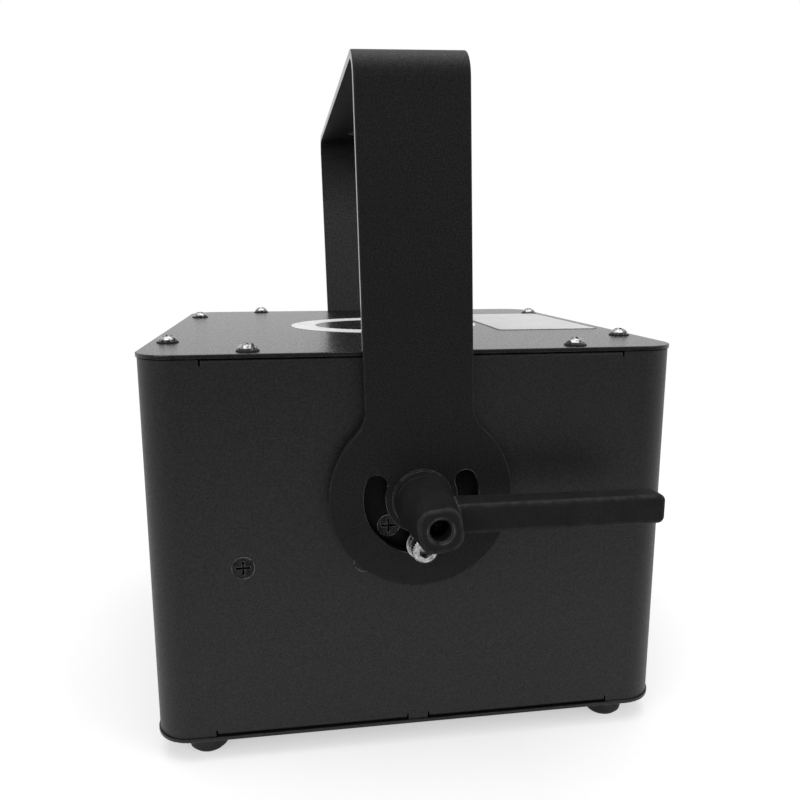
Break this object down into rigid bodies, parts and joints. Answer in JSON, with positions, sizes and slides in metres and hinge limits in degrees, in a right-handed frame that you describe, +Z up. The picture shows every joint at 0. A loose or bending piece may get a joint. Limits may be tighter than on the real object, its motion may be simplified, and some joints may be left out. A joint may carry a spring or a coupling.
{
  "type": "laser show projector",
  "caption": "Compact laser show projector: black folded-sheet box in a tilting U-shaped yoke with clamp levers, exit window, scanner optics inside and a rear panel of sockets and keys.",
  "frame": {"origin": "on the floor under the middle of the housing", "axes": "+Z up, -Y the way the light leaves, +Y the rear panel, X along the yoke's pivot"},
  "size_m": [0.28, 0.2071, 0.2583],
  "materials": {
    "black_powder": "fine textured powder coat",
    "dark_nickel": "dark nickel plate",
    "black_oxide": "black oxide",
    "zinc": "bright zinc",
    "lever_plastic": "satin black moulding",
    "nylon": "black nylon",
    "foot_rubber": "matte black rubber",
    "clear_glass": "clear, coated",
    "metal_fittings": "nickel plate",
    "optic_aluminium": "anodised",
    "mirror_coat": "front coated",
    "circuit": "solder mask"
  },
  "bodies": {
    "housing": {"housing_shell": "black_powder", "top_lid": "black_powder", "base_plate": "black_powder", "rear_panel": "black_powder", "window_bezel": "black_powder", "lid_screws": "dark_nickel", "sunk_screws": "black_oxide", "pan_screws": "black_oxide", "bezel_screws": "black_oxide", "lever_washers": "black_oxide", "pivot_plates": "black_oxide", "slot_washers": "zinc", "slot_screws": "zinc", "fan_guard": "zinc", "rocker_frame": "lever_plastic", "power_inlet": "lever_plastic", "fan_frame": "lever_plastic", "dmx_sockets": "lever_plastic", "pivot_spacers": "nylon", "rubber_feet": "foot_rubber", "window_gasket": "foot_rubber", "window_glass": "clear_glass", "laser_lenses": "clear_glass", "display_window": "clear_glass", "signal_sockets": "metal_fittings", "key_switch": "metal_fittings", "optics_deck": "optic_aluminium", "red_laser": "optic_aluminium", "green_laser": "optic_aluminium", "blue_laser": "optic_aluminium", "mirror_mounts": "optic_aluminium", "scanner_block": "optic_aluminium", "x_galvo_motor": "optic_aluminium", "y_galvo_motor": "optic_aluminium", "heat_sink": "optic_aluminium", "board_standoffs": "optic_aluminium", "combiner_mirrors": "mirror_coat", "laser_driver_board": "circuit", "galvo_driver_board": "circuit", "main_board": "circuit", "display_board": "circuit", "power_supply": "circuit"},
    "yoke": {"yoke_bracket": "black_powder"},
    "right_stud": {"right_lever_stud": "zinc", "right_lever_screw": "black_oxide", "right_lever_spring": "zinc"},
    "right_handle": {"right_lever": "lever_plastic"},
    "left_stud": {"left_lever_stud": "zinc", "left_lever_screw": "black_oxide", "left_lever_spring": "zinc"},
    "left_handle": {"left_lever": "lever_plastic"},
    "fan_wheel": {"fan_rotor": "lever_plastic"},
    "x_scan": {"x_galvo_mirror": "mirror_coat"},
    "y_scan": {"y_galvo_mirror": "mirror_coat"},
    "key": {"key_barrel": "metal_fittings"},
    "rocker": {"power_rocker": "lever_plastic"},
    "button_1": {"menu_button_1": "lever_plastic"},
    "button_2": {"menu_button_2": "lever_plastic"},
    "button_3": {"menu_button_3": "lever_plastic"},
    "button_4": {"menu_button_4": "lever_plastic"}
  },
  "joints": [
    {"name": "yoke_tilt", "type": "hinge", "parent": "housing", "child": "yoke", "pos_m": [0, 0, 0.1024], "axis": [1, 0, 0], "range_deg": [-105, 105]},
    {"name": "right_lever_turn", "type": "hinge", "parent": "housing", "child": "right_stud", "pos_m": [0.1066, 0, 0.1024], "axis": [1, 0, 0], "range_deg": [0, 180]},
    {"name": "right_lever_pull", "type": "slide", "parent": "right_stud", "child": "right_handle", "axis": [1, 0, 0], "range_m": [0, 0.0035], "stiffness_N_per_m": 1500, "springref_m": -0.002, "deforming": ["right_lever_spring"]},
    {"name": "left_lever_turn", "type": "hinge", "parent": "housing", "child": "left_stud", "pos_m": [-0.1066, 0, 0.1024], "axis": [-1, 0, 0], "range_deg": [0, 180]},
    {"name": "left_lever_pull", "type": "slide", "parent": "left_stud", "child": "left_handle", "axis": [-1, 0, 0], "range_m": [0, 0.0035], "stiffness_N_per_m": 1500, "springref_m": -0.002, "deforming": ["left_lever_spring"]},
    {"name": "fan_spin", "type": "hinge", "parent": "housing", "child": "fan_wheel", "pos_m": [0.0423, 0.09, 0.09975], "axis": [0, 1, 0], "continuous": true},
    {"name": "x_scan_turn", "type": "hinge", "parent": "housing", "child": "x_scan", "pos_m": [0, -0.058, 0.102], "axis": [0, 1, 0], "range_deg": [-12, 12]},
    {"name": "y_scan_turn", "type": "hinge", "parent": "housing", "child": "y_scan", "pos_m": [0, -0.058, 0.114], "axis": [1, 0, 0], "range_deg": [-12, 12]},
    {"name": "key_turn", "type": "hinge", "parent": "housing", "child": "key", "pos_m": [-0.067, 0.0985, 0.11825], "axis": [0, -1, 0], "range_deg": [0, 90]},
    {"name": "power_rock", "type": "hinge", "parent": "housing", "child": "rocker", "pos_m": [0.008, 0.0955, 0.04875], "axis": [-1, 0, 0], "range_deg": [0, 18]},
    {"name": "menu_press_1", "type": "slide", "parent": "housing", "child": "button_1", "axis": [0, -1, 0], "range_m": [0, 0.001], "stiffness_N_per_m": 1500, "springref_m": -0.0005},
    {"name": "menu_press_2", "type": "slide", "parent": "housing", "child": "button_2", "axis": [0, -1, 0], "range_m": [0, 0.001], "stiffness_N_per_m": 1500, "springref_m": -0.0005},
    {"name": "menu_press_3", "type": "slide", "parent": "housing", "child": "button_3", "axis": [0, -1, 0], "range_m": [0, 0.001], "stiffness_N_per_m": 1500, "springref_m": -0.0005},
    {"name": "menu_press_4", "type": "slide", "parent": "housing", "child": "button_4", "axis": [0, -1, 0], "range_m": [0, 0.001], "stiffness_N_per_m": 1500, "springref_m": -0.0005}
  ]
}
